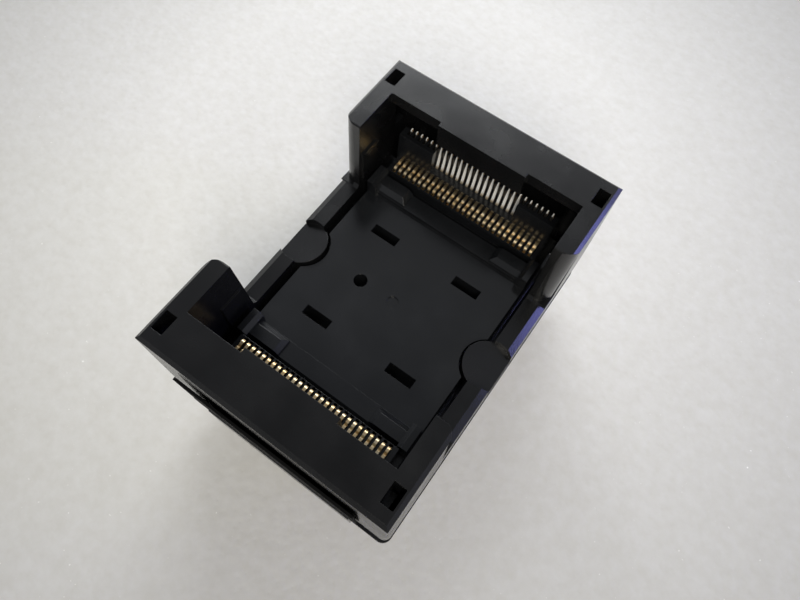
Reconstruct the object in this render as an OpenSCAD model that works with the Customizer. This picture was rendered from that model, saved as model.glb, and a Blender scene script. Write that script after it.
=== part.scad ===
// Open-top test socket for a thin small-outline chip package, leads on its two short ends.
// X runs along the contact rows, Y along the socket, Z up from the board.
// The origin is the middle of the seating plane, where the socket stands on the board.
// A place given as "outward" is measured along Y from the end of the package leads.

/* [Package] */
// Width of the package body
package_w = 14; // [12:0.1:16]
// Length of the package body without its leads
package_l = 18.4; // [16.4:0.1:18.8]
// Length of the package over its leads
lead_span = 20; // [19.6:0.1:22]
// Play between the package and each side guide
package_play = 0.05; // [0.02:0.01:0.15]
// Height of the package body above its leads' feet
body_standoff = 0.1; // [0.05:0.01:0.2]

/* [Contacts] */
// Contacts in each row
contacts_per_row = 28; // [12:2:28]
// Distance between neighbouring contacts
pitch = 0.5; // [0.45:0.01:0.54]
// Thickness of the contact strip
strip_t = 0.24; // [0.14:0.01:0.25]
// Gap between a contact and each side of its slot
slot_gap = 0.03; // [0.02:0.01:0.06]
// Length of a solder tail below the board side
tail_len = 3; // [2:0.1:4]
// Width of a solder tail
tail_w = 0.3; // [0.2:0.02:0.4]
// Outward place of the inner row of tails
tail_in = 0.2; // [0.1:0.05:0.6]
// Outward place of the outer row of tails
tail_out = 2; // [1.6:0.05:2.2]
// Height of the press-in bar of a contact
bar_h = 1.1; // [0.8:0.05:1.4]
// Height of the press-in bar above the board
bar_lift = 0.4; // [0.2:0.05:0.6]
// Width of the sprung beam
beam_w = 0.3; // [0.2:0.02:0.36]
// Thickness of the sprung arm behind its nose
arm_h = 0.45; // [0.35:0.05:0.55]
// Height of the sprung arm above the leads' feet
arm_rise = 0.7; // [0.64:0.02:1]
// Gap between the nose and the landing arm when the socket is empty
nose_gap = 0.04; // [0.02:0.01:0.1]
// Length of a lead foot that the nose covers
foot_l = 0.45; // [0.4:0.05:0.55]
// Depth of the dip in the sprung arm behind its nose
nose_dip = 0.14; // [0.05:0.01:0.2]
// Outward place of the dip behind the nose
dip_out = 0.05; // [0.05:0.05:0.3]
// Length of the dip behind the nose
dip_l = 0.3; // [0.2:0.05:0.5]
// Room in the comb in front of the noses
nose_room = 0.2; // [0.1:0.05:0.25]
// Outward place of the foot of the levers, at their front
lever_out = 1.45; // [1.4:0.05:1.6]
// Depth of a lever
lever_d = 0.35; // [0.25:0.01:0.4]
// Height of a lever above the sprung arm
lever_h = 2.74; // [2.4:0.02:2.8]
// Outward lean of a lever over its height
lever_lean = 0.3; // [0:0.05:0.35]
// Height of the pointed end of a lever
lever_point = 0.8; // [0.3:0.05:1]
// Width of the tip of a lever
lever_tip = 0.1; // [0.05:0.01:0.14]
// Width of the nose of the sprung arm
nose_w = 0.4; // [0.3:0.02:0.5]
// Height of the landing arm's head
landing_h = 0.65; // [0.5:0.05:0.9]
// Radius of the fillets of a contact
fillet = 0.3; // [0.15:0.05:0.35]
// Radius of the bends in the sprung beam
bend_r = 1.2; // [0.8:0.1:1.6]
// Height of the first bend above the press-in bar
bend_up = 2; // [1:0.1:2.5]

/* [Seat] */
// Height of the seat floor above the board
floor_z = 7; // [6.4:0.1:8]
// Thickness of the seat floor
floor_t = 3.5; // [2.6:0.1:4]
// Height of the corner pads that carry the package
pad_h = 1; // [0.8:0.05:1.2]
// Half the free width between the corner pads of one end
pad_in = 4.3; // [4:0.1:5.5]
// Distance of the pads from the middle of the seat
pad_y = 7.5; // [7.3:0.05:8]
// Chamfer along the top edges of a pad
pad_edge = 0.4; // [0.2:0.05:0.5]
// Thickness of the side guides
guide_t = 0.85; // [0.7:0.05:1]
// Height of the side guides above the pads
guide_h = 0.5; // [0.4:0.05:1.2]
// Chamfer along the inner edge of a side guide
guide_edge = 0.35; // [0.2:0.05:0.4]
// Length of a side guide
guide_l = 2; // [1.4:0.05:2]
// Height of the ledge between the pads
ledge_h = 0.4; // [0.2:0.05:0.6]
// Length of a slot in the seat floor
floor_slot_l = 2.45; // [1.5:0.05:3]
// Width of a slot in the seat floor
floor_slot_w = 0.85; // [0.5:0.05:1.2]
// Sideways place of the floor slots
floor_slot_x = 4.05; // [2.6:0.05:4.2]
// Lengthways place of the floor slots
floor_slot_y = 4.57; // [3:0.05:5.5]
// Depth of the floor slots
floor_slot_depth = 3; // [1:0.1:3.3]
// Diameter of the round hole in the seat floor
round_hole_d = 1.15; // [0.8:0.05:1.4]
// Sideways place of the round hole, left of the middle
round_hole_x = 3.2; // [2:0.1:4]
// Depth of the round hole
round_hole_depth = 2.5; // [1:0.1:4]
// Diameter of the gate mark in the middle of the floor
gate_d = 1; // [0.6:0.1:1.4]
// Depth of the gate mark
gate_depth = 0.12; // [0.05:0.01:0.2]

/* [Base] */
// Height of the base flange
flange_h = 1; // [0.8:0.1:1.2]
// How far the flange stands out past the foot of the cover, at the sides
flange_side = 0.05; // [0:0.01:0.2]
// How far the flange stands out past the foot of the cover, at the ends
flange_end = 0.2; // [0.05:0.05:0.4]
// How far the shoulders beside the towers lie below the seat floor
shoulder_drop = 0.5; // [0.3:0.1:2]
// Radius of the upright corners of the cover
corner_r = 0.6; // [0.3:0.05:1]
// Radius of the upright corners of the flange
flange_r = 0.8; // [0.5:0.05:1.2]
// Width of the middle tongue at each end
tongue_w = 13.9; // [12:0.1:14.4]
// Height of the end tongues
tongue_h = 4; // [3:0.1:6.5]
// How far a tongue stands out past the foot of the cover
tongue_proud = 0.35; // [0.25:0.05:0.6]
// Thickness of the comb tower beside the outer contacts
cheek_t = 0.45; // [0.3:0.05:0.5]
// Outward place of the foot of the wall in front of the levers
wall_in = 0.75; // [0.55:0.05:0.9]
// Backward lean of that wall over its height
wall_lean = 0.2; // [0.1:0.05:0.3]
// Gap between that wall and the levers
lever_gap = 0.1; // [0.05:0.01:0.15]
// Thickness of the wall over the sprung arms
bridge_t = 0.3; // [0.15:0.05:0.4]
// How far the lever tips stand out of the comb
tip_proud = 0.1; // [0.05:0.05:0.3]
// Room behind the foot of a lever for its swing
lever_room = 0.8; // [0.6:0.05:0.9]
// How far the comb ribs reach past the foot of a lever, beside the window
comb_back = 0.15; // [0.05:0.05:0.4]
// Thickness of the wall behind the contacts
rear_wall_t = 0.45; // [0.35:0.05:0.5]
// Height of the comb ribs above the leads' feet
rib_rise = 0.4; // [0.2:0.05:0.5]
// Width of the window in front of the middle levers
window_w = 8; // [5:0.1:10]
// Wall thickness around the hollow underside
under_wall = 1.9; // [1.5:0.1:2.4]
// Thickness of the cross rib in the underside
cross_rib_t = 1.8; // [1.5:0.1:2.4]
// Diameter of a locating peg
peg_d = 1.5; // [1:0.1:1.8]
// Length of a locating peg
peg_l = 2; // [1.5:0.1:2.8]
// Sideways place of the locating pegs
peg_x = 8.9; // [8:0.1:9]
// Lengthways place of the locating pegs
peg_y = 8; // [5:0.1:10]

/* [Cover] */
// Travel of the cover
stroke = 2.2; // [1.6:0.1:2.4]
// Room left under the pressed cover
press_gap = 0.3; // [0.2:0.05:0.5]
// Thickness of the side walls and rails
side_wall = 1.62; // [1.5:0.02:1.8]
// Width of the groove between seat floor and rail
groove_w = 0.58; // [0.5:0.02:0.8]
// Room between the pressed cover and the comb towers
roof_gap = 0.5; // [0.3:0.05:0.8]
// Thickness of the top over the levers
top_wall = 1.06; // [0.8:0.01:1.4]
// Thickness of the end walls at the top
end_wall = 1.28; // [1.1:0.02:1.5]
// Outward place of the inner edge of the end blocks
block_in = 1.33; // [1.28:0.01:1.42]
// Length of the arms from the end blocks towards the middle
arm_len = 4.13; // [3.5:0.1:4.6]
// Lean of the arm ends over their height
arm_lean = 0.4; // [0:0.05:0.6]
// Radius of the outer corners of the arm ends
arm_end_r = 1.1; // [0.6:0.1:1.4]
// Height of the rails above the seat floor
rail_rise = 0.5; // [0.1:0.05:0.6]
// Width of the bevel along the rails' outer edges
rail_bevel = 0.45; // [0.2:0.05:0.6]
// Bevel along the top edges of the end blocks
top_edge = 0.3; // [0.15:0.05:0.5]
// Draft of the outer walls over their height
draft = 0.16; // [0.05:0.01:0.25]
// Width of the cam lip at the middle of the end blocks
lip_w = 7.7; // [4:0.1:7.7]
// How far the cam lip stands in
lip_in = 0.4; // [0.2:0.05:0.5]
// Height of the cam lip
lip_h = 2.25; // [1.5:0.05:2.3]
// Length of the guide step inside each arm
step_l = 2.05; // [1:0.05:2.6]
// Thickness of the guide step
step_t = 0.15; // [0.05:0.01:0.3]
// Depth of the guide step below the top
step_down = 3.5; // [2.5:0.1:4.5]

/* [Round pads and springs] */
// Radius of the round pads on the rails
pad_r = 2; // [1.9:0.05:2.2]
// Distance of a pad's centre from the outside of the cover
pad_inset = 1.05; // [0.9:0.05:1.2]
// Gap between a round pad and the base
pad_gap = 0.2; // [0.1:0.05:0.3]
// Depth of the sloping thumb recess at the outside
scoop_depth = 0.9; // [0.4:0.05:1.2]
// Outer diameter of a spring
spring_d = 2.1; // [1.7:0.05:2.2]
// Wire diameter of a spring
wire_d = 0.3; // [0.2:0.02:0.34]
// Turns of a spring
spring_turns = 5; // [4:0.5:6]
// Distance of the springs from the outside of the cover
spring_inset = 1.6; // [1.55:0.05:1.75]
// Depth of the spring pockets in the cover
spring_pocket = 1.7; // [1.2:0.1:2]
// Gap between a spring and the wall of its pocket
spring_gap = 0.15; // [0.08:0.01:0.2]
// Gap between a spring end and its seat
seat_gap = 0.03; // [0.01:0.01:0.06]

/* [Latches] */
// Width of the latch windows, across the socket
latch_window_w = 0.95; // [0.8:0.05:1.1]
// Length of the latch windows, along the socket
latch_window_l = 1.5; // [1.2:0.05:1.7]
// Distance of a window's middle from the outside of the cover
latch_inset_x = 0.92; // [0.9:0.01:1]
// Distance of a window's middle from the end of the cover
latch_inset_y = 1.86; // [1.7:0.02:2.1]
// Thickness of a latch arm
latch_t = 0.55; // [0.4:0.05:0.6]
// Reach of a latch hook
latch_hook = 0.4; // [0.25:0.05:0.45]
// Height of a latch hook
hook_h = 1.25; // [0.8:0.05:1.6]
// Height of the latch ledge above the seat floor
latch_rise = 2; // [1:0.1:2.6]
// Gap round a latch
latch_gap = 0.1; // [0.05:0.01:0.12]
// Gap between a hook and its ledge in the raised position
hook_gap = 0.05; // [0.02:0.01:0.1]

/* [Hidden] */
$fn = 48;
eps = 0.01;
cut = 1;
plastic_cover = [0.16, 0.16, 0.17];
plastic_base = [0.13, 0.13, 0.14];
gold = [0.86, 0.7, 0.36];
steel = [0.7, 0.7, 0.72];
// Along the socket, outward from its middle
lead_end = lead_span / 2;
tip_y = lead_end - foot_l;
slot_in = foot_l + nose_room;
slot_out = lever_out + lever_d + lever_room;
comb_out = lever_out + lever_d + comb_back;
rear_y = lead_end + slot_out + rear_wall_t;
comb_y = lead_end - slot_in - 0.05;
ramp_y = comb_y - pad_edge;
wall_out = lever_out - lever_gap;
block_y = lead_end + block_in;
end_in = rear_y + 0.25;
end_y = end_in + end_wall;
end_foot = end_y + draft;
arm_y = block_y - arm_len;
foot_y = arm_y - arm_lean;
under_end = comb_y - 1;
bar_in = slot_in - 0.25;
bar_out = slot_out - 0.2;
latch_y = end_y - latch_inset_y;
// Across the socket, outward from its middle
row_x = (contacts_per_row - 1) * pitch / 2;
tower_x = row_x + strip_t / 2 + slot_gap + cheek_t;
guide_x = package_w / 2 + package_play;
floor_x = guide_x + guide_t;
cover_in = floor_x + groove_w;
cover_x = cover_in + side_wall;
cover_foot = cover_x + draft;
latch_x = cover_x - latch_inset_x;
window_in = latch_x - latch_window_w / 2;
window_out = latch_x + latch_window_w / 2;
hook_x = window_out - latch_gap;
arm_out_x = hook_x - latch_hook;
spring_x = cover_x - spring_inset;
round_x = cover_x - pad_inset;
under_x = floor_x - under_wall;
// Up from the board
pad_z = floor_z + pad_h;
lead_z = pad_z - body_standoff;
ledge_z = floor_z + ledge_h;
rib_z = lead_z + rib_rise;
arm_z = lead_z + arm_rise;
nose_z = lead_z + nose_gap;
lever_z = arm_z + lever_h;
slot_z = arm_z + 0.15;
bridge_z = slot_z + bridge_t;
wall_z = lever_z - tip_proud;
leg_z = flange_h + stroke + press_gap;
arch_z = tongue_h + stroke + press_gap;
rail_z = floor_z + rail_rise;
roof_z = wall_z + stroke + roof_gap;
top_z = roof_z + top_wall;
bar_top = bar_lift + bar_h;
latch_z = floor_z + latch_rise;
spring_top = leg_z + spring_pocket;
// Middle line of a contact's sprung beam, from the bar up to the neck under the lever
arm_under = arm_z - arm_h;
landing_z = lead_z - landing_h;
post_in = 0.05 - bar_in;
neck = lever_out + lever_d / 2;
root = bar_out - beam_w / 2 - 0.05;
lever_mid = neck + lever_lean;
sweep = acos(1 - (root - neck) / (2 * bend_r));
bend_z = bar_top + bend_up;
straight_z = bend_z + 2 * bend_r * sin(sweep);
beam_path = concat(
    [[root, bar_top]],
    arc([root - bend_r, bend_z], bend_r, 0, sweep),
    arc([neck + bend_r, straight_z], bend_r, 180 + sweep, 180, 1),
    [[neck, arm_under - fillet]]
);

// Name of one contact, such as contact_far_07
function contact_name(row, i) = str("contact_", row, "_", i < 10 ? "0" : "", i);

// Points of an arc about c, from angle a to angle b
function arc(c, r, a, b, first = 0) =
    [for (k = [first:6]) c + r * [cos(a + (b - a) * k / 6), sin(a + (b - a) * k / 6)]];

// Unit vector across the path at point k
function across(p, k) =
    let (a = p[max(k - 1, 0)], b = p[min(k + 1, len(p) - 1)], d = (b - a) / norm(b - a)) [d[1], -d[0]];

// The path moved sideways by d
function beside(p, d) = [for (k = [0:len(p) - 1]) p[k] + d * across(p, k)];

// The points of a path in the opposite order
function back(p) = [for (k = [len(p) - 1:-1:0]) p[k]];

// Extrudes a side profile, drawn as outward place and height, across X
module across_x(x0, x1) {
    translate([x0, 0, 0]) rotate([90, 0, 90]) linear_extrude(x1 - x0) children();
}

// Extrudes an end profile, drawn as X and height, along Y
module along_y(y0, y1) {
    translate([0, y1, 0]) rotate([90, 0, 0]) linear_extrude(y1 - y0) children();
}

// A child on the right and its mirror image on the left
module both_sides() {
    children();
    mirror([1, 0, 0]) children();
}

// A child at the far end and the same turned half round at the near end
module both_ends() {
    children();
    rotate([0, 0, 180]) children();
}

// A child in all four corners
module four_corners() {
    both_sides() {
        children();
        mirror([0, 1, 0]) children();
    }
}

// Block between two corners
module block(a, b) {
    translate(a) cube(b - a);
}

// Upright block with rounded corners, centred on the axis
module rounded_block(x, y, z0, z1, r) {
    translate([0, 0, z0]) linear_extrude(z1 - z0) rounded_plate(x, y, r);
}

// Rectangle of half sizes x and y with rounded corners
module rounded_plate(x, y, r) {
    square([2 * x, 2 * (y - r)], center = true);
    square([2 * (x - r), 2 * y], center = true);
    for (sx = [-1, 1], sy = [-1, 1]) translate([sx * (x - r), sy * (y - r)]) circle(r);
}

// Side outline of one contact with its tail at the given outward place, outward place and height
function contact_outline(tail) = concat(
    // Press-in bar and solder tail
    [[-bar_in, bar_lift], [tail - tail_w / 2, bar_lift], [tail - tail_w / 2, tail_w - tail_len]],
    [[tail - tail_w / 4, -tail_len], [tail + tail_w / 4, -tail_len]],
    [[tail + tail_w / 2, tail_w - tail_len], [tail + tail_w / 2, bar_lift], [bar_out, bar_lift]],
    [[bar_out, bar_top]],
    // Sprung beam and the back of the lever
    beside(beam_path, beam_w / 2),
    [[lever_out + lever_d, arm_under], [lever_out + lever_d + lever_lean, lever_z - lever_point]],
    // Lever point, sprung arm, dip and nose
    [[lever_mid + lever_tip, lever_z], [lever_mid - lever_tip, lever_z]],
    [[lever_out + lever_lean, lever_z - lever_point]],
    arc([lever_out - fillet, arm_z + fillet], fillet, 0, -90),
    [[dip_out + dip_l, arm_z], [dip_out + dip_l / 2, arm_z - nose_dip], [dip_out, arm_z]],
    arc([fillet - foot_l, arm_z - fillet], fillet, 90, 180),
    [[nose_w / 2 - foot_l, nose_z], [nose_w - foot_l, nose_z], [nose_w - foot_l + 0.1, arm_under]],
    [[lever_out - fillet, arm_under]],
    // Sprung beam again, then the landing arm under the lead
    back(beside(beam_path, -beam_w / 2)),
    [[post_in + beam_w, bar_top], [post_in + beam_w, landing_z - fillet], [0.1, landing_z], [0.1, lead_z]],
    [[0.05 - foot_l, lead_z], [0.05 - foot_l, landing_z], [post_in, landing_z - fillet]],
    [[post_in, bar_top], [-bar_in, bar_top]]
);

// Front outline of a contact: the strip, with the pointed end of its lever, X and height
module contact_front() {
    slope = (strip_t - lever_tip) / 2 / lever_point;
    flare_z = lever_z - (strip_t - lever_tip / 2) / slope;
    polygon([
        [-strip_t, -tail_len - cut], [strip_t, -tail_len - cut], [strip_t, flare_z],
        [lever_tip / 2, lever_z], [-lever_tip / 2, lever_z], [-strip_t, flare_z]
    ]);
}

// One stamped contact of the far row
module contact(i) {
    tail = i % 2 == 1 ? tail_in : tail_out;
    color(gold) translate([-row_x + (i - 1) * pitch, lead_end, 0]) intersection() {
        across_x(-strip_t / 2, strip_t / 2) polygon(contact_outline(tail));
        along_y(-bar_in - cut, bar_out + cut) contact_front();
    }
}

// Slot of one contact, open to the board side and above its lever, outward place and height
module slot_profile() {
    polygon([
        [-bar_in, -cut], [bar_out, -cut], [bar_out, bar_top], [slot_out, bar_top],
        [slot_out, wall_z + cut], [wall_out, wall_z + cut], [wall_out, slot_z],
        [-slot_in, slot_z], [-slot_in, bar_top], [-bar_in, bar_top]
    ]);
}

// Side profile of a comb tower with the ledge in front of it, Y and height
module tower_profile() {
    polygon([
        [pad_y - 0.1, 0], [pad_y - 0.1, ledge_z], [ramp_y, ledge_z], [comb_y, floor_z], [comb_y, rib_z],
        [lead_end + wall_in, rib_z], [lead_end + wall_in, bridge_z],
        [lead_end + wall_in + wall_lean, wall_z], [lead_end + comb_out, wall_z],
        [lead_end + comb_out, rib_z], [rear_y, rib_z], [rear_y, 0]
    ]);
}

// Corner pad that carries the package, with bevels along its front and its inner end
module corner_pad() {
    intersection() {
        across_x(pad_in, guide_x + eps) polygon([
            [pad_y, floor_z - eps], [pad_y, pad_z - pad_edge], [pad_y + pad_edge, pad_z],
            [ramp_y, pad_z], [ramp_y, floor_z - eps]
        ]);
        along_y(pad_y - cut, comb_y) polygon([
            [pad_in, floor_z - cut], [pad_in, pad_z - pad_edge], [pad_in + pad_edge, pad_z],
            [pad_in + pad_edge, pad_z + cut], [floor_x, pad_z + cut], [floor_x, floor_z - cut]
        ]);
    }
}

// Guide beside the package, with a bevelled inner edge
module side_guide() {
    along_y(comb_y - 0.1 - guide_l, comb_y - 0.1) polygon([
        [guide_x, floor_z - eps], [guide_x, pad_z + guide_h - guide_edge],
        [guide_x + guide_edge, pad_z + guide_h], [floor_x, pad_z + guide_h], [floor_x, floor_z - eps]
    ]);
}

// Latch arm with its hook, X and height
module latch_arm() {
    half = latch_window_l / 2 - latch_gap;
    along_y(latch_y - half, latch_y + half) polygon([
        [arm_out_x - latch_t - 0.3, flange_h - eps], [arm_out_x, flange_h - eps],
        [arm_out_x, latch_z + hook_gap], [hook_x, latch_z + hook_gap],
        [hook_x, latch_z + hook_gap + 0.3], [arm_out_x, latch_z + hook_gap + hook_h],
        [arm_out_x - latch_t, latch_z + hook_gap + hook_h], [arm_out_x - latch_t, flange_h + 0.9]
    ]);
}

// Tongue at the end of the base, with a bevelled top edge, Y and height
module tongue() {
    across_x(-tongue_w / 2, tongue_w / 2) polygon([
        [rear_y - eps, 0], [rear_y - eps, tongue_h], [end_foot + tongue_proud - 0.2, tongue_h],
        [end_foot + tongue_proud, tongue_h - 0.2], [end_foot + tongue_proud, 0]
    ]);
}

// Lower body of the socket
module base_housing() {
    color(plastic_base) difference() {
        union() {
            rounded_block(cover_foot + flange_side, end_foot + flange_end, 0, flange_h, flange_r);
            block([-floor_x, -comb_y, 0], [floor_x, comb_y, floor_z]);
            block([-floor_x, -rear_y, 0], [floor_x, rear_y, floor_z - shoulder_drop]);
            both_ends() {
                across_x(-tower_x, tower_x) tower_profile();
                tongue();
            }
            four_corners() {
                corner_pad();
                side_guide();
                latch_arm();
            }
            both_sides() translate([spring_x, 0, flange_h - eps]) {
                cylinder(d = spring_d - 2 * wire_d - 0.2, h = 0.6);
                translate([0, 0, 0.6 - eps]) cylinder(
                    d1 = spring_d - 2 * wire_d - 0.2, d2 = spring_d - 2 * wire_d - 0.6, h = 0.3);
            }
            locating_pegs();
        }
        both_ends() {
            for (i = [1:contacts_per_row]) translate([-row_x + (i - 1) * pitch, lead_end, 0])
                across_x(-strip_t / 2 - slot_gap, strip_t / 2 + slot_gap) slot_profile();
            block([-window_w / 2, lead_end + wall_in - eps, bridge_z],
                [window_w / 2, lead_end + neck, wall_z + cut]);
            block([-under_x, cross_rib_t / 2, -cut], [under_x, under_end, floor_z - floor_t]);
        }
        four_corners() translate([floor_slot_x, floor_slot_y, floor_z])
            cube([floor_slot_l, floor_slot_w, 2 * floor_slot_depth], center = true);
        both_sides() translate([round_x, 0, flange_h])
            cylinder(r = pad_r + pad_gap, h = floor_z);
        translate([-round_hole_x, 0, floor_z - round_hole_depth])
            cylinder(d = round_hole_d, h = round_hole_depth + cut);
        translate([0, 0, floor_z - gate_depth]) cylinder(d = gate_d, h = cut);
    }
}

// Two pegs under the base, in opposite corners, with chamfered ends
module locating_pegs() {
    both_ends() translate([-peg_x, peg_y, -peg_l]) {
        translate([0, 0, 0.3]) cylinder(d = peg_d, h = peg_l - 0.3 + flange_h / 2);
        cylinder(d1 = peg_d - 0.5, d2 = peg_d, h = 0.3 + eps);
    }
}

// Side profile of one half of the cover, Y and height
module cover_side_half() {
    polygon([
        [-eps, leg_z], [-eps, rail_z], [foot_y - 0.3, rail_z], [foot_y, rail_z + 0.3],
        [arm_y, top_z - 0.1], [arm_y + 0.1, top_z], [end_y - top_edge, top_z],
        [end_y, top_z - top_edge], [end_foot, leg_z]
    ]);
}

// End profile of the cover, X and height
module cover_end_profile() {
    polygon([
        [-cover_foot, leg_z], [-cover_x, top_z - top_edge], [-cover_x + top_edge, top_z],
        [cover_x - top_edge, top_z], [cover_x, top_z - top_edge], [cover_foot, leg_z]
    ]);
}

// Outer form of the cover: the plan, the side view and the end view intersected
module cover_form() {
    intersection() {
        rounded_block(cover_foot, end_foot, leg_z, top_z, corner_r);
        along_y(-end_foot, end_foot) cover_end_profile();
        across_x(-cover_foot, cover_foot) {
            cover_side_half();
            mirror([1, 0]) cover_side_half();
        }
    }
}

// Cuts that round the outer corner of an arm and bevel the rail below it
module arm_and_rail_cuts() {
    lean = atan(arm_lean / (top_z - rail_z));
    translate([cover_x - arm_end_r, foot_y + arm_end_r, rail_z]) rotate([-lean, 0, 0])
        linear_extrude(top_z) difference() {
            translate([0, -2 * arm_end_r]) square(2 * arm_end_r);
            circle(arm_end_r);
        }
    along_y(-eps, foot_y + arm_end_r) polygon([
        [cover_x - rail_bevel, rail_z + eps], [cover_foot + cut, rail_z + eps],
        [cover_foot + cut, rail_z - rail_bevel], [cover_foot, rail_z - rail_bevel]
    ]);
}

// Round pad on a rail, with its thumb recess sloping down to the outside
module round_pad() {
    intersection() {
        translate([round_x, 0, leg_z]) cylinder(r = pad_r, h = rail_z - leg_z);
        along_y(-pad_r, pad_r) polygon([
            [round_x - pad_r, leg_z], [round_x - pad_r, rail_z], [cover_foot, rail_z - scoop_depth],
            [cover_foot, leg_z]
        ]);
    }
}

// Sliding cover
module cover() {
    color(plastic_cover) difference() {
        union() {
            difference() {
                cover_form();
                // Hollow under the end blocks, and the opening between them
                block([-cover_in, -end_in, leg_z - cut], [cover_in, end_in, roof_z]);
                block([-cover_in, -block_y, roof_z - eps], [cover_in, block_y, top_z + cut]);
                four_corners() arm_and_rail_cuts();
                both_sides() translate([round_x, 0, leg_z - cut])
                    cylinder(r = pad_r, h = top_z);
            }
            both_sides() round_pad();
            // Cam lips and the guide steps inside the arms
            both_ends() block([-lip_w / 2, block_y - lip_in, top_z - lip_h], [lip_w / 2, block_y + 0.07, top_z]);
            four_corners() block([cover_in - step_t, arm_y + 0.1, leg_z],
                [cover_in + eps, arm_y + 0.1 + step_l, top_z - step_down]);
        }
        // Arches over the base's tongues
        both_ends() block([-tongue_w / 2 - latch_gap, end_in - cut, leg_z - cut],
            [tongue_w / 2 + latch_gap, end_foot + cut, arch_z]);
        four_corners() translate([0, latch_y, 0]) {
            // Latch window through the top, and the channel below it
            block([window_in, -latch_window_l / 2, latch_z],
                [window_out, latch_window_l / 2, top_z + cut]);
            block([cover_in - cut, -latch_window_l / 2, leg_z - cut],
                [arm_out_x + latch_gap, latch_window_l / 2, roof_z]);
        }
        both_sides() translate([spring_x, 0, leg_z - cut])
            cylinder(d = spring_d + 2 * spring_gap, h = spring_pocket + cut);
    }
}

// Height of a spring's wire after a share t of its turns, with closed end turns
function coil_rise(t) = t < 0.15 ? t * 0.3 : t > 0.85 ? 1 - (1 - t) * 0.3 : 0.045 + (t - 0.15) * 1.3;

// Coil spring between two heights
module coil_spring(x) {
    sides = 8;
    steps = ceil(spring_turns * 16);
    z0 = flange_h + seat_gap + wire_d / 2;
    z1 = spring_top - seat_gap - wire_d / 2;
    mid_r = (spring_d - wire_d) / 2;
    rings = [for (k = [0:steps]) let (t = k / steps, a = 360 * spring_turns * t, z = z0 + (z1 - z0) * coil_rise(t))
        for (s = [0:sides - 1]) let (b = 360 * s / sides, r = mid_r + wire_d / 2 * cos(b))
            [r * cos(a), r * sin(a), z + wire_d / 2 * sin(b)]];
    skin = [for (k = [0:steps - 1], s = [0:sides - 1]) let (n = (s + 1) % sides, p = k * sides, q = p + sides)
        [p + s, p + n, q + n, q + s]];
    caps = [[for (s = [sides - 1:-1:0]) s], [for (s = [0:sides - 1]) steps * sides + s]];
    color(steel) translate([x, 0, 0]) polyhedron(rings, concat(skin, caps));
}

base_housing();
cover();
coil_spring(-spring_x);  // left_spring
coil_spring(spring_x);  // right_spring
for (i = [1:contacts_per_row]) {
    rotate([0, 0, 180]) contact(contacts_per_row + 1 - i);
    contact(i);
}
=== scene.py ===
import bpy
from mathutils import Matrix, Vector


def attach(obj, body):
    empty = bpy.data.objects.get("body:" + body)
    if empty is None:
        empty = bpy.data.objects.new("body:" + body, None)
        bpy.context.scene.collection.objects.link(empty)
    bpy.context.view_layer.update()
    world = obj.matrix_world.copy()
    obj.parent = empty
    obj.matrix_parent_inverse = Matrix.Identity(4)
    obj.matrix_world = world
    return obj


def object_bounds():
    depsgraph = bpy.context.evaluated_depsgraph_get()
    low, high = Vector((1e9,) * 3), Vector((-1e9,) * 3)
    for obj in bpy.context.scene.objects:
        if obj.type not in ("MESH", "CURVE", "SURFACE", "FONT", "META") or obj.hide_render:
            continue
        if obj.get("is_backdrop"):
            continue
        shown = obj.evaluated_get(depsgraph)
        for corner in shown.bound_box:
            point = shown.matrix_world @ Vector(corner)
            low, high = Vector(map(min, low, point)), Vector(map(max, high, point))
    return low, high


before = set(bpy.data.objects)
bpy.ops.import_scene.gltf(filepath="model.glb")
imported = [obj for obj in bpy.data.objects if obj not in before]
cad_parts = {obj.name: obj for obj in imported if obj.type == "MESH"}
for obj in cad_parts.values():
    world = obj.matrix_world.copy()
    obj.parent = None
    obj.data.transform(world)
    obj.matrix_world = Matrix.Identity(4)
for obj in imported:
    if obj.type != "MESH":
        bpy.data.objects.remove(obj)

cad_low, cad_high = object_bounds()
bpy.ops.object.select_all(action="DESELECT")
scene = bpy.context.scene
scene.view_settings.view_transform = "Standard"

# --- The camera: above the near right corner of the socket, as in the photograph.
# Its axes are the image's right, up and backward directions in the socket's own frame.
camera_data = bpy.data.cameras.new("camera")
camera_data.lens = 28.172
camera_data.sensor_width = 36.0
camera_data.clip_start = 0.002
camera_data.clip_end = 5.0
camera = bpy.data.objects.new("camera", camera_data)
camera.matrix_world = Matrix((
    (0.81079855, -0.54818291, 0.20518581, 0.010699),
    (0.58456111, 0.74044995, -0.33169592, -0.016159),
    (0.02990021, 0.38888222, 0.92080215, 0.053278),
    (0.0, 0.0, 0.0, 1.0)))
scene.collection.objects.link(camera)
scene.camera = camera

# --- The surface under the socket: a sheet of pale packing foam, on which the solder tails stand.
# Its skin has fine cells with a few bright specks, and its colour is painted darker away from a spot left of
# and beyond the socket as painted light falloff; not part of the object.
bpy.ops.mesh.primitive_plane_add(size=1.6, location=(0.0, 0.0, cad_low.z))
floor = bpy.context.object
floor.name = "pale_floor"
bpy.ops.object.transform_apply(location=True, rotation=True, scale=True)
foam = bpy.data.materials.new("packing_foam")
foam.use_nodes = True
nodes, links = foam.node_tree.nodes, foam.node_tree.links
shader = nodes["Principled BSDF"]
shader.inputs["Roughness"].default_value = 0.6
shader.inputs["Specular IOR Level"].default_value = 0.25
place = nodes.new("ShaderNodeTexCoord")
reach = nodes.new("ShaderNodeVectorMath")
reach.operation = "DISTANCE"
reach.inputs[1].default_value = (-0.012, 0.018, cad_low.z)
links.new(place.outputs["Object"], reach.inputs[0])
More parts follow.
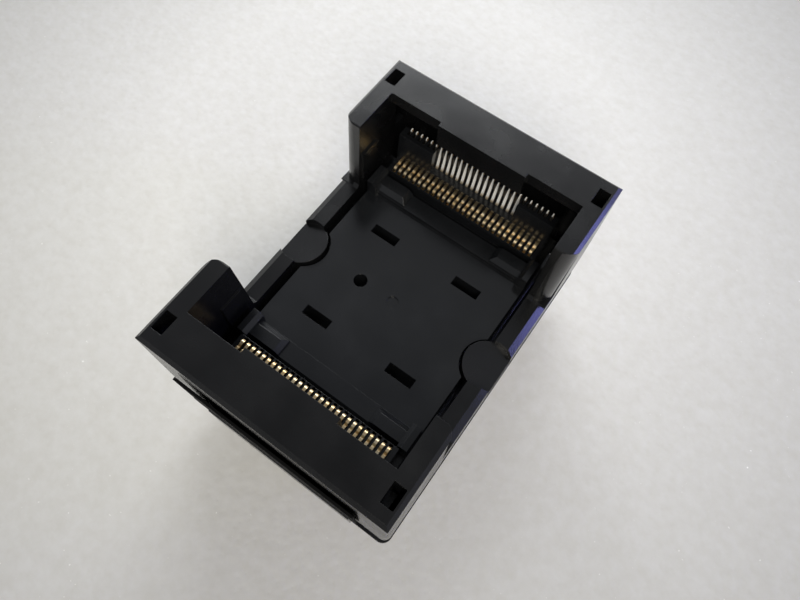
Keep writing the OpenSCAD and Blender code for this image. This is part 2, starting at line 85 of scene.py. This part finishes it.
# Painted light falloff: the foam colour is scaled from full down to 0.63 with distance from that spot.
painted_falloff = nodes.new("ShaderNodeMapRange")
painted_falloff.inputs["From Min"].default_value = 0.025
painted_falloff.inputs["From Max"].default_value = 0.057
painted_falloff.inputs["To Min"].default_value = 1.0
painted_falloff.inputs["To Max"].default_value = 0.63
links.new(reach.outputs["Value"], painted_falloff.inputs["Value"])
cells = nodes.new("ShaderNodeTexVoronoi")
cells.feature = "SMOOTH_F1"
cells.inputs["Scale"].default_value = 1500.0
links.new(place.outputs["Object"], cells.inputs["Vector"])
grain = nodes.new("ShaderNodeTexNoise")
grain.inputs["Scale"].default_value = 900.0
grain.inputs["Detail"].default_value = 4.0
grain.inputs["Roughness"].default_value = 0.6
links.new(place.outputs["Object"], grain.inputs["Vector"])
tint = nodes.new("ShaderNodeValToRGB")
tint.color_ramp.elements[0].position = 0.3
tint.color_ramp.elements[0].color = (0.81, 0.80, 0.77, 1.0)
tint.color_ramp.elements[1].position = 0.7
tint.color_ramp.elements[1].color = (0.87, 0.865, 0.85, 1.0)
links.new(grain.outputs["Fac"], tint.inputs["Fac"])
foam_with_painted_falloff = nodes.new("ShaderNodeVectorMath")
foam_with_painted_falloff.operation = "SCALE"
links.new(tint.outputs["Color"], foam_with_painted_falloff.inputs[0])
links.new(painted_falloff.outputs["Result"], foam_with_painted_falloff.inputs["Scale"])
dots = nodes.new("ShaderNodeTexNoise")
dots.inputs["Scale"].default_value = 2600.0
dots.inputs["Detail"].default_value = 1.0
links.new(place.outputs["Object"], dots.inputs["Vector"])
speck = nodes.new("ShaderNodeMapRange")
speck.inputs["From Min"].default_value = 0.76
speck.inputs["From Max"].default_value = 0.86
links.new(dots.outputs["Fac"], speck.inputs["Value"])
speckled = nodes.new("ShaderNodeMix")
speckled.data_type = "RGBA"
links.new(speck.outputs["Result"], speckled.inputs[0])
links.new(foam_with_painted_falloff.outputs["Vector"], speckled.inputs[6])
speckled.inputs[7].default_value = (0.96, 0.96, 0.95, 1.0)
links.new(speckled.outputs[2], shader.inputs["Base Color"])
skin = nodes.new("ShaderNodeBump")
skin.inputs["Strength"].default_value = 0.35
skin.inputs["Distance"].default_value = 0.00012
links.new(cells.outputs["Distance"], skin.inputs["Height"])
links.new(skin.outputs["Normal"], shader.inputs["Normal"])
floor.data.materials.append(foam)
floor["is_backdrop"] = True

# --- The light: a pale room that is darker overhead than towards its walls and windows.
# A window behind the far end, a ceiling light over the near side and a bluish glow from the right add to it.
room = bpy.data.worlds.new("room")
room.use_nodes = True
nodes, links = room.node_tree.nodes, room.node_tree.links
sky = nodes["Background"]
sky.inputs["Color"].default_value = (0.95, 0.98, 1.04, 1.0)
direction = nodes.new("ShaderNodeTexCoord")
axes = nodes.new("ShaderNodeSeparateXYZ")
links.new(direction.outputs["Generated"], axes.inputs["Vector"])
overhead, brightness = 0.05, None
for axis, gain in (("X", -0.30), ("X", 0.25), ("Y", 0.55), ("Y", -0.15)):
    share = nodes.new("ShaderNodeMath")
    share.operation = "MULTIPLY"
    share.use_clamp = True
    share.inputs[1].default_value = gain
    links.new(axes.outputs[axis], share.inputs[0])
    total = nodes.new("ShaderNodeMath")
    total.operation = "ADD"
    total.inputs[1].default_value = overhead
    if brightness is not None:
        links.new(brightness, total.inputs[1])
    links.new(share.outputs["Value"], total.inputs[0])
    brightness = total.outputs["Value"]
links.new(brightness, sky.inputs["Strength"])
backdrop = nodes.new("ShaderNodeBackground")
backdrop.inputs["Color"].default_value = (0.80, 0.81, 0.83, 1.0)
seen = nodes.new("ShaderNodeLightPath")
choice = nodes.new("ShaderNodeMixShader")
links.new(seen.outputs["Is Camera Ray"], choice.inputs["Fac"])
links.new(sky.outputs["Background"], choice.inputs[1])
links.new(backdrop.outputs["Background"], choice.inputs[2])
links.new(choice.outputs["Shader"], nodes["World Output"].inputs["Surface"])
scene.world = room

window_data = bpy.data.lights.new("window", "AREA")
window_data.shape = "RECTANGLE"
window_data.size = 0.16
window_data.size_y = 0.12
window_data.energy = 0.34
window_data.color = (0.97, 0.99, 1.0)
window = bpy.data.objects.new("window", window_data)
window.location = (-0.10, 0.19, 0.13)
window.rotation_euler = Vector((0.10, -0.19, -0.13)).to_track_quat("-Z", "Y").to_euler()
scene.collection.objects.link(window)

glow_data = bpy.data.lights.new("side_glow", "AREA")
glow_data.shape = "RECTANGLE"
glow_data.size = 0.07
glow_data.size_y = 0.08
glow_data.energy = 0.17
glow_data.color = (0.30, 0.31, 1.0)
glow = bpy.data.objects.new("side_glow", glow_data)
glow.location = (0.25, 0.145, 0.05)
glow.rotation_euler = Vector((-0.25, -0.145, -0.04)).to_track_quat("-Z", "Y").to_euler()
scene.collection.objects.link(glow)

ceiling_data = bpy.data.lights.new("ceiling_light", "AREA")
ceiling_data.shape = "DISK"
ceiling_data.size = 0.20
ceiling_data.energy = 0.62
ceiling_data.color = (1.0, 0.95, 0.85)
ceiling = bpy.data.objects.new("ceiling_light", ceiling_data)
ceiling.location = (0.11, -0.17, 0.26)
ceiling.rotation_euler = Vector((-0.11, 0.17, -0.26)).to_track_quat("-Z", "Y").to_euler()
scene.collection.objects.link(ceiling)


# --- The cover: one saddle-shaped moulding in black heat-resistant plastic.
# Its faces are satin from a finely eroded mould, with edges that are rubbed a little smoother.
def black_moulding(name, colour, roughness, shine, grain_depth):
    """A filled black plastic with mould grain, cloudy gloss and softly broken edges."""
    material = bpy.data.materials.new(name)
    material.use_nodes = True
    nodes, links = material.node_tree.nodes, material.node_tree.links
    shader = nodes["Principled BSDF"]
    shader.inputs["IOR"].default_value = 1.5
    shader.inputs["Specular IOR Level"].default_value = shine
    place = nodes.new("ShaderNodeTexCoord")
    cloud = nodes.new("ShaderNodeTexNoise")
    cloud.inputs["Scale"].default_value = 260.0
    cloud.inputs["Detail"].default_value = 4.0
    links.new(place.outputs["Object"], cloud.inputs["Vector"])
    shade = nodes.new("ShaderNodeValToRGB")
    shade.color_ramp.elements[0].position = 0.32
    shade.color_ramp.elements[0].color = (*[0.82 * c for c in colour], 1.0)
    shade.color_ramp.elements[1].position = 0.7
    shade.color_ramp.elements[1].color = (*[1.18 * c for c in colour], 1.0)
    links.new(cloud.outputs["Fac"], shade.inputs["Fac"])
    links.new(shade.outputs["Color"], shader.inputs["Base Color"])
    gloss = nodes.new("ShaderNodeMapRange")
    gloss.inputs["From Min"].default_value = 0.3
    gloss.inputs["From Max"].default_value = 0.7
    gloss.inputs["To Min"].default_value = roughness - 0.05
    gloss.inputs["To Max"].default_value = roughness + 0.07
    links.new(cloud.outputs["Fac"], gloss.inputs["Value"])
    links.new(gloss.outputs["Result"], shader.inputs["Roughness"])
    grain = nodes.new("ShaderNodeTexNoise")
    grain.inputs["Scale"].default_value = 10000.0
    grain.inputs["Detail"].default_value = 3.0
    links.new(place.outputs["Object"], grain.inputs["Vector"])
    edge = nodes.new("ShaderNodeBevel")
    edge.samples = 4
    edge.inputs["Radius"].default_value = 0.00004
    relief = nodes.new("ShaderNodeBump")
    relief.inputs["Strength"].default_value = grain_depth
    relief.inputs["Distance"].default_value = 0.00003
    links.new(grain.outputs["Fac"], relief.inputs["Height"])
    links.new(edge.outputs["Normal"], relief.inputs["Normal"])
    links.new(relief.outputs["Normal"], shader.inputs["Normal"])
    return material


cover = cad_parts["cover"]
cover_plastic = black_moulding("cover_plastic", (0.0058, 0.0059, 0.0064), 0.25, 0.5, 0.2)
cover.data.materials.clear()
cover.data.materials.append(cover_plastic)

# --- The base: the lower moulding with the seat and the two comb towers, in the same plastic.
# It comes from another mould with a smoother seat, so it is a shade bluer and glossier.
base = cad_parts["base_housing"]
base_plastic = black_moulding("base_plastic", (0.0085, 0.0092, 0.0105), 0.2, 0.65, 0.1)
base.data.materials.clear()
base.data.materials.append(base_plastic)

# --- The end plates: thin upright plates on the base's tongues, in front of the cover's end walls.
# They stand for the base's plastic, unpolished, but their colour is darker than the base's as painted shade
# for the deep shade at the cover's end walls, and the cover slides behind them.
plate_plastic_painted_shade = black_moulding("plate_plastic_painted_shade", (0.004, 0.0042, 0.0046), 0.75, 0.12, 0.3)
for end, turn in (("near", -1.0), ("far", 1.0)):
    bpy.ops.object.select_all(action="DESELECT")
    bpy.ops.mesh.primitive_cube_add(size=1.0, location=(0.0, 0.0, 0.0))
    plate = bpy.context.object
    plate.name = "end_plate_" + end
    plate.scale = (0.0154, 0.00023, 0.0076)
    plate.location = (0.0, turn * 0.014965, 0.0076)
    bpy.ops.object.transform_apply(location=True, rotation=True, scale=True)
    for corner in plate.data.vertices:
        if corner.co.z < 0.005:
            corner.co.y -= turn * 0.00008 if abs(corner.co.y) > 0.015 else 0.0
    soften = plate.modifiers.new("edges", "BEVEL")
    soften.width = 0.00004
    soften.segments = 2
    bpy.ops.object.modifier_apply(modifier="edges")
    plate.data.materials.append(plate_plastic_painted_shade)
    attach(plate, "base")

# --- The contacts: stamped from thin copper-alloy strip, gold-plated, pressed into the comb slots.
# The plating is deep gold at the noses; the levers are painted pale and nearly unmetallic as a painted
# highlight, and outside the window their lower parts are painted dark as painted shade from the comb wall.
gold = bpy.data.materials.new("gold_plating")
gold.use_nodes = True
nodes, links = gold.node_tree.nodes, gold.node_tree.links
shader = nodes["Principled BSDF"]
shader.inputs["Roughness"].default_value = 0.36
place = nodes.new("ShaderNodeTexCoord")
wear = nodes.new("ShaderNodeTexNoise")
wear.inputs["Scale"].default_value = 1500.0
wear.inputs["Detail"].default_value = 4.0
links.new(place.outputs["Object"], wear.inputs["Vector"])
tone = nodes.new("ShaderNodeValToRGB")
tone.color_ramp.elements[0].position = 0.3
tone.color_ramp.elements[0].color = (0.90, 0.62, 0.28, 1.0)
tone.color_ramp.elements[1].position = 0.7
tone.color_ramp.elements[1].color = (0.98, 0.84, 0.58, 1.0)
links.new(wear.outputs["Fac"], tone.inputs["Fac"])
axes = nodes.new("ShaderNodeSeparateXYZ")
links.new(place.outputs["Object"], axes.inputs["Vector"])
# Painted highlight: from 8.8 to 9.4 mm up the levers turn pale and nearly unmetallic, so they read
# near-white.
lever = nodes.new("ShaderNodeMapRange")
lever.inputs["From Min"].default_value = 0.0088
lever.inputs["From Max"].default_value = 0.0094
links.new(axes.outputs["Z"], lever.inputs["Value"])
lever_painted_highlight = nodes.new("ShaderNodeMix")
lever_painted_highlight.data_type = "RGBA"
links.new(lever.outputs["Result"], lever_painted_highlight.inputs[0])
links.new(tone.outputs["Color"], lever_painted_highlight.inputs[6])
lever_painted_highlight.inputs[7].default_value = (1.0, 0.98, 0.93, 1.0)
side = nodes.new("ShaderNodeMath")
side.operation = "ABSOLUTE"
links.new(axes.outputs["X"], side.inputs[0])
# Painted shade: outside the window, below the comb wall's rim, the levers are coloured dark.
walled = nodes.new("ShaderNodeMath")
walled.operation = "GREATER_THAN"
walled.inputs[1].default_value = 0.0041
links.new(side.outputs["Value"], walled.inputs[0])
below = nodes.new("ShaderNodeMapRange")
below.inputs["From Min"].default_value = 0.01110
below.inputs["From Max"].default_value = 0.01120
below.inputs["To Min"].default_value = 0.97
below.inputs["To Max"].default_value = 0.0
links.new(axes.outputs["Z"], below.inputs["Value"])
wall_painted_shade = nodes.new("ShaderNodeMath")
wall_painted_shade.operation = "MULTIPLY"
links.new(walled.outputs["Value"], wall_painted_shade.inputs[0])
links.new(below.outputs["Result"], wall_painted_shade.inputs[1])
high = nodes.new("ShaderNodeMath")
high.operation = "MULTIPLY"
links.new(wall_painted_shade.outputs["Value"], high.inputs[0])
links.new(lever.outputs["Result"], high.inputs[1])
shaded = nodes.new("ShaderNodeMix")
shaded.data_type = "RGBA"
links.new(high.outputs["Value"], shaded.inputs[0])
links.new(lever_painted_highlight.outputs[2], shaded.inputs[6])
shaded.inputs[7].default_value = (0.03, 0.025, 0.02, 1.0)
# Painted shade: faces turned sideways are coloured dark brown, so the contacts read slimmer and dimmer.
facing = nodes.new("ShaderNodeNewGeometry")
flank_axes = nodes.new("ShaderNodeSeparateXYZ")
links.new(facing.outputs["Normal"], flank_axes.inputs["Vector"])
sideways = nodes.new("ShaderNodeMath")
sideways.operation = "ABSOLUTE"
links.new(flank_axes.outputs["X"], sideways.inputs[0])
flank = nodes.new("ShaderNodeMath")
flank.operation = "GREATER_THAN"
flank.inputs[1].default_value = 0.8
links.new(sideways.outputs["Value"], flank.inputs[0])
flank_painted_shade = nodes.new("ShaderNodeMix")
flank_painted_shade.data_type = "RGBA"
links.new(flank.outputs["Value"], flank_painted_shade.inputs[0])
links.new(shaded.outputs[2], flank_painted_shade.inputs[6])
flank_painted_shade.inputs[7].default_value = (0.30, 0.17, 0.06, 1.0)
links.new(flank_painted_shade.outputs[2], shader.inputs["Base Color"])
metal = nodes.new("ShaderNodeMapRange")
metal.inputs["To Min"].default_value = 1.0
metal.inputs["To Max"].default_value = 0.05
links.new(lever.outputs["Result"], metal.inputs["Value"])
links.new(metal.outputs["Result"], shader.inputs["Metallic"])
for row in ("near", "far"):
    for number in range(1, 29):
        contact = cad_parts["contact_%s_%02d" % (row, number)]
        contact.data.materials.clear()
        contact.data.materials.append(gold)

# --- The springs: two small coils of bright spring wire that lift the cover.
steel = bpy.data.materials.new("spring_wire")
steel.use_nodes = True
shader = steel.node_tree.nodes["Principled BSDF"]
shader.inputs["Metallic"].default_value = 1.0
shader.inputs["Base Color"].default_value = (0.62, 0.62, 0.64, 1.0)
shader.inputs["Roughness"].default_value = 0.3
for side in ("left", "right"):
    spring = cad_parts[side + "_spring"]
    spring.data.materials.clear()
    spring.data.materials.append(steel)

# --- The size of the dressed model, solids and added pieces together.
low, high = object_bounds()
